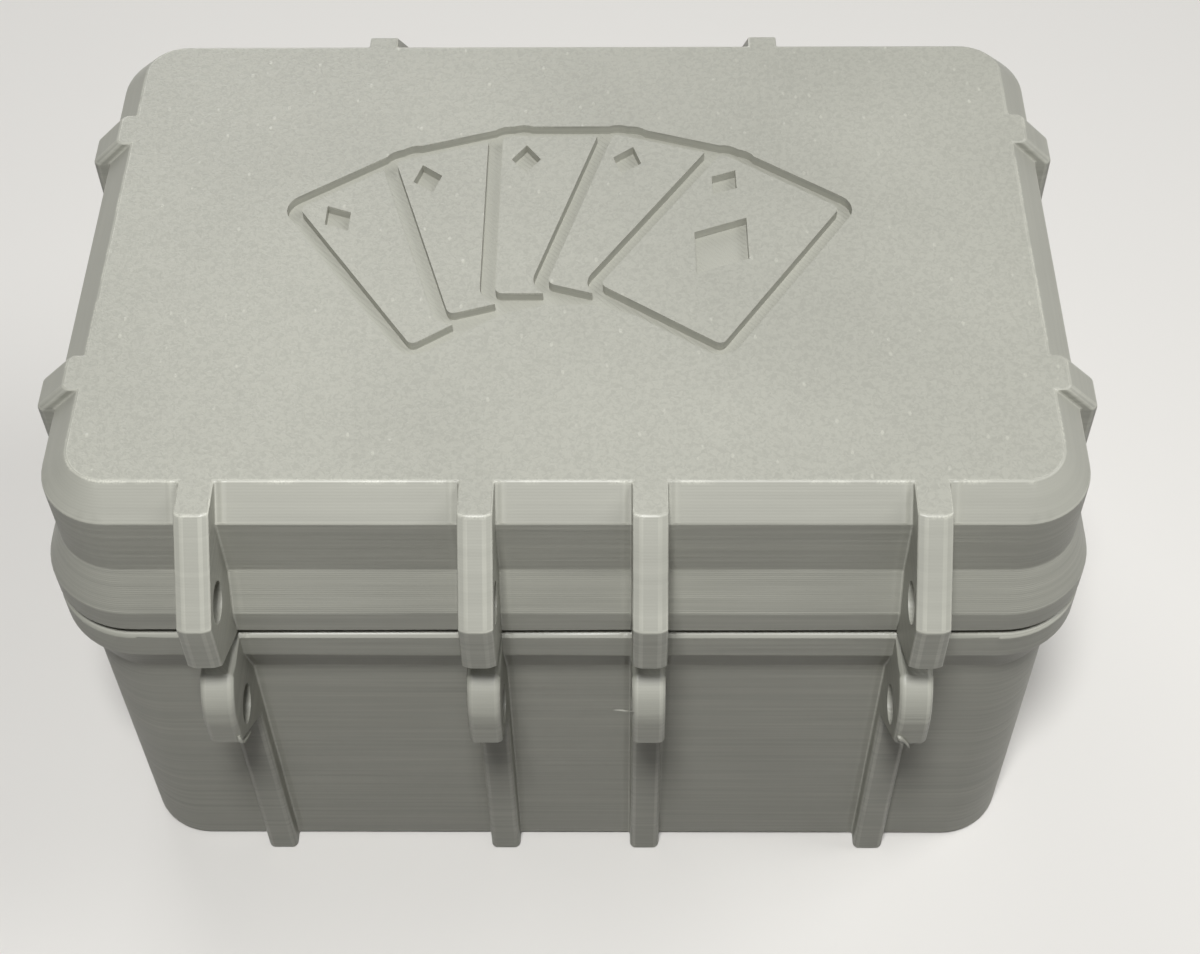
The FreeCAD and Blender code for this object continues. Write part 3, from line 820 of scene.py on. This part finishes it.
def foldedLeaflet():
    low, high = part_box("rules_leaflet")
    paper, layers = leafletLook["paper"], leafletLook["layers"]
    pitch = (high.z - low.z - paper) / (layers - 1)
    foot = low.z + paper / 2
    bend = pitch / 2
    reach = high.y - bend - paper / 2
    path = [Vector((-reach, foot))]
    for layer in range(layers):
        side = 1 if layer % 2 == 0 else -1
        level = foot + layer * pitch
        path.append(Vector((side * reach, level)))
        if layer == layers - 1:
            break
        for step in range(1, leafletLook["bendSteps"]):
            turn = math.pi * (step / leafletLook["bendSteps"] - 0.5)
            out, up = bend * math.cos(turn), bend * math.sin(turn)
            path.append(Vector((side * (reach + out), level + bend + up)))
        path.append(Vector((side * reach, level + pitch)))
    points = [(x, p.x, p.y) for x in (low.x, high.x) for p in path]
    count = len(path)
    faces = [(i, i + 1, count + i + 1, count + i) for i in range(count - 1)]
    made = meshFrom("folded_leaflet", points, faces)
    wall = made.modifiers.new("paper", "SOLIDIFY")
    wall.thickness = paper
    wall.offset = 0.0
    made = settle(made)
    shadeSmooth(made, leafletLook["creaseAngle"])
    return made


leaflet = foldedLeaflet()
paintWith(leaflet, leafletPaper())
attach(leaflet, "base")
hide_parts("rules_leaflet")
print("leaflet folded:", len(leaflet.data.polygons), "faces")


# Rim seal: the CAD ring itself in dusty rubber

sealLook = {
    "tones": (colour(30, 30, 31), colour(68, 66, 62)),  # clean and dusty
    "grainScale": (2400, 2400, 2400),
    "grainDepth": 0.02 * mm,
    "grainGloss": 0.2,
    "dustScale": (180, 180, 180),
    "dustLevels": (0.45, 0.8),
    "dustShare": 0.5,
    "roughness": 0.62,
}


def sealRubber():
    look = sealLook
    paint = Paint("sealRubber")
    grain = paint.noise(look["grainScale"], detail=2.0)
    dust = paint.noise(look["dustScale"], detail=4.0)
    tone = paint.blendColour(dust.ramp(*look["dustLevels"], 0.0, look["dustShare"]), *look["tones"])
    normal = paint.bump(grain, look["grainDepth"])
    gloss = look["roughness"] + (grain - 0.5) * look["grainGloss"]
    return paint.finish({"Base Color": tone, "Roughness": gloss, "Normal": normal}, {})


paintWith(nodes["rim_seal"], sealRubber())
print("seal finished")


# Hinge screws: button heads with a hexagon socket

screwLook = {
    "shankRadius": 1.5 * mm,
    "tipCut": 0.4 * mm,
    "headHeight": 2.0 * mm,
    "headSteps": 6,
    "brim": 0.35,   # share of the head's height below the dome
    "crown": 0.55,  # share of the head's radius that stays flat on top
    "softening": 0.15 * mm,
    "around": 40,
    "socket": 2.0 * mm,
    "socketDepth": 1.2 * mm,
    "overreach": 1.0 * mm,
    "creaseAngle": 35,
    "tones": (colour(186, 187, 188), colour(150, 149, 146)),  # bright and stained
    "turnedScale": (5200, 500, 500),
    "turnedDepth": 0.01 * mm,
    "turnedGloss": 0.12,
    "stainScale": (420, 420, 420),
    "stainLevels": (0.35, 0.75),
    "stainGloss": 0.18,
    "roughness": 0.30,
}


def screwSteel():
    look = screwLook
    paint = Paint("screwSteel")
    turned = paint.noise(look["turnedScale"], detail=2.0)
    stain = paint.noise(look["stainScale"], detail=3.0)
    tone = paint.blendColour(stain.ramp(*look["stainLevels"]), *look["tones"])
    normal = paint.bump(turned, look["turnedDepth"])
    gloss = look["roughness"] + (stain - 0.5) * look["stainGloss"] + (turned - 0.5) * look["turnedGloss"]
    return paint.finish({"Base Color": tone, "Roughness": gloss, "Normal": normal}, {"Metallic": 1.0})


def screwProfile(tip, crown, headRadius):
    # distance along the screw and radius, from the tip to the crown
    look = screwLook
    shank, cut, soft = look["shankRadius"], look["tipCut"], look["softening"]
    seat = crown - look["headHeight"]
    profile = [(tip, 0.0), (tip, shank - cut), (tip + cut, shank), (seat, shank),
               (seat, headRadius - soft), (seat + soft, headRadius)]
    domeStart = seat + look["brim"] * look["headHeight"]
    domeRise = (1 - look["brim"]) * look["headHeight"]
    rim = headRadius * look["crown"]
    for step in range(look["headSteps"] + 1):
        turn = math.pi / 2 * step / look["headSteps"]
        profile.append((domeStart + domeRise * math.sin(turn), rim + (headRadius - rim) * math.cos(turn)))
    return [*profile, (crown, 0.0)]


def turnedMesh(profile, around):
    # the profile swept round the X axis, with a single point where the radius is nought
    points, faces, loops = [], [], []
    for along, radius in profile:
        spokes = around if radius else 1
        loops.append(range(len(points), len(points) + spokes))
        for spoke in range(spokes):
            turn = 2 * math.pi * spoke / around
            points.append((along, radius * math.cos(turn), radius * math.sin(turn)))
    for first, second in zip(loops, loops[1:]):
        for spoke in range(around):
            following = (spoke + 1) % around
            corners = [first[spoke % len(first)], first[following % len(first)],
                       second[following % len(second)], second[spoke % len(second)]]
            faces.append(tuple(dict.fromkeys(reversed(corners))))
    return points, faces


def hingeScrew(node, name, outwards, steel):
    low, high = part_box(node)
    axisY, axisZ = (low.y + high.y) / 2, (low.z + high.z) / 2
    tip, crown = (low.x, high.x) if outwards > 0 else (-high.x, -low.x)
    body = turnedMesh(screwProfile(tip, crown, (high.z - low.z) / 2), screwLook["around"])
    across = screwLook["socket"] / math.sqrt(3)
    socketEnds = ((crown - screwLook["socketDepth"], across), (crown + screwLook["overreach"], across))
    points = [(along, radius * math.cos(k * math.pi / 3), radius * math.sin(k * math.pi / 3))
              for along, radius in socketEnds for k in range(6)]
    faces = [(k, (k + 1) % 6, 6 + (k + 1) % 6, 6 + k) for k in range(6)]
    faces += [tuple(reversed(range(6))), tuple(range(6, 12))]
    pieces = []
    for label, (places, sides) in ((name, body), ("socket", (points, faces))):
        piece = meshFrom(label, [(outwards * x, axisY + y, axisZ + z) for x, y, z in places], sides)
        bm = bmesh.new()
        bm.from_mesh(piece.data)
        bmesh.ops.recalc_face_normals(bm, faces=bm.faces)
        bm.to_mesh(piece.data)
        bm.free()
        pieces.append(piece)
    made = cutAway(*pieces)
    shadeSmooth(made, screwLook["creaseAngle"])
    paintWith(made, steel)
    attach(made, "base")
    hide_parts(node)


steel = screwSteel()
hingeScrew("hinge_screw_right", "hinge_screw_right_head", 1, steel)
hingeScrew("hinge_screw_left", "hinge_screw_left_head", -1, steel)
print("hinge screws turned")


# Floor, light and camera

stageLook = {
    "floorTone": colour(232, 230, 226),
    "floorBounce": colour(34, 30, 24),  # what the light meets that the floor throws back
    "floorSize": 6.0,
    "floorDrop": 0.02 * mm,
    "floorFar": colour(214, 212, 208),
    "farReach": (0.15, 0.50),
    "floorConstants": {"Roughness": 0.9, "Specular IOR Level": 0.2, "Emission Strength": 1.0},
    "cloudScale": (3, 3, 3),
    "cloudTone": (0.985, 1.0),
    "skyColour": (1.0, 1.0, 1.0, 1.0),
    "skyStrength": 0.05,
    "skySeen": 0.66,
    "aim": (0, 0, 0.03),
}
lamps = {  # power, size and place
    "key": (1.41, 0.075, (-0.01, -0.170, 0.410)),
    "fill": (1.12, 0.34, (0.40, 0.05, 0.47)),
    "rear": (1.1, 0.40, (-0.17, 0.50, 0.24)),
}
photoCamera = {
    "place": (5.097 * mm, -136.868 * mm, 202.864 * mm),
    "yaw": 0.016748,
    "pitch": 0.654972,
    "roll": -0.013325,
    "focalPixels": 1975.52,
    "imageWidth": 1200,
    "sensor": 36.0,
    "clip": (0.005, 50.0),
}


def paleFloor():
    look = stageLook
    half = look["floorSize"] / 2
    corners = [(-half, -half, 0), (half, -half, 0), (half, half, 0), (-half, half, 0)]
    floor = meshFrom("floor", corners, [(0, 1, 2, 3)])
    floor.location.z = -look["floorDrop"]
    paint = Paint("paleFloor")
    # pale where it is seen, darker in the light that it throws back
    seen = paint.seen()
    tone = paint.blendColour(seen, look["floorBounce"], look["floorTone"])
    cloud = paint.noise(look["cloudScale"], detail=3.0)
    tone = paint.scaleColour(tone, cloud.ramp(*middling, *look["cloudTone"]))
    # past the reach of the lamps the floor stays pale to the eye
    x, y = paint.axes(paint.place)[:2]
    far = ((x * x + y * y) ** 0.5).ramp(*look["farReach"]) * seen
    glow = paint.scaleColour(look["floorFar"], far)
    tone = paint.scaleColour(tone, 1 - far)
    paintWith(floor, paint.finish({"Base Color": tone, "Emission Color": glow}, look["floorConstants"]))


def paleSky():
    # faint as a light, pale where it is looked at past the floor
    look = stageLook
    paint = Paint("paleSky", "worlds", "Background")
    strength = paint.seen() * (look["skySeen"] - look["skyStrength"]) + look["skyStrength"]
    bpy.context.scene.world = paint.finish({"Strength": strength}, {"Color": look["skyColour"]})


def softLamp(name, power, size, place):
    data = bpy.data.lights.new(name, "AREA")
    data.energy = power
    data.shape = "DISK"
    data.size = size
    lamp = linkObject(name, data)
    lamp.location = place
    lamp.rotation_euler = (-Vector(place) + Vector(stageLook["aim"])).to_track_quat("-Z", "Y").to_euler()


def setCamera():
    look = photoCamera
    data = bpy.data.cameras.new("camera")
    data.sensor_fit = "HORIZONTAL"
    data.sensor_width = look["sensor"]
    data.lens = look["focalPixels"] / look["imageWidth"] * look["sensor"]
    data.clip_start, data.clip_end = look["clip"]
    camera = linkObject("camera", data)
    turn = Matrix.Rotation(look["yaw"], 4, "Z") @ Matrix.Rotation(look["pitch"], 4, "X")
    turn = turn @ Matrix.Rotation(look["roll"], 4, "Z")
    camera.matrix_world = Matrix.Translation(look["place"]) @ turn
    bpy.context.scene.camera = camera


paleFloor()
paleSky()
for name, (power, size, place) in lamps.items():
    softLamp(name, power, size, place)
setCamera()
bpy.context.scene.view_settings.view_transform = "Standard"
print("stage set")

bpy.context.view_layer.update()
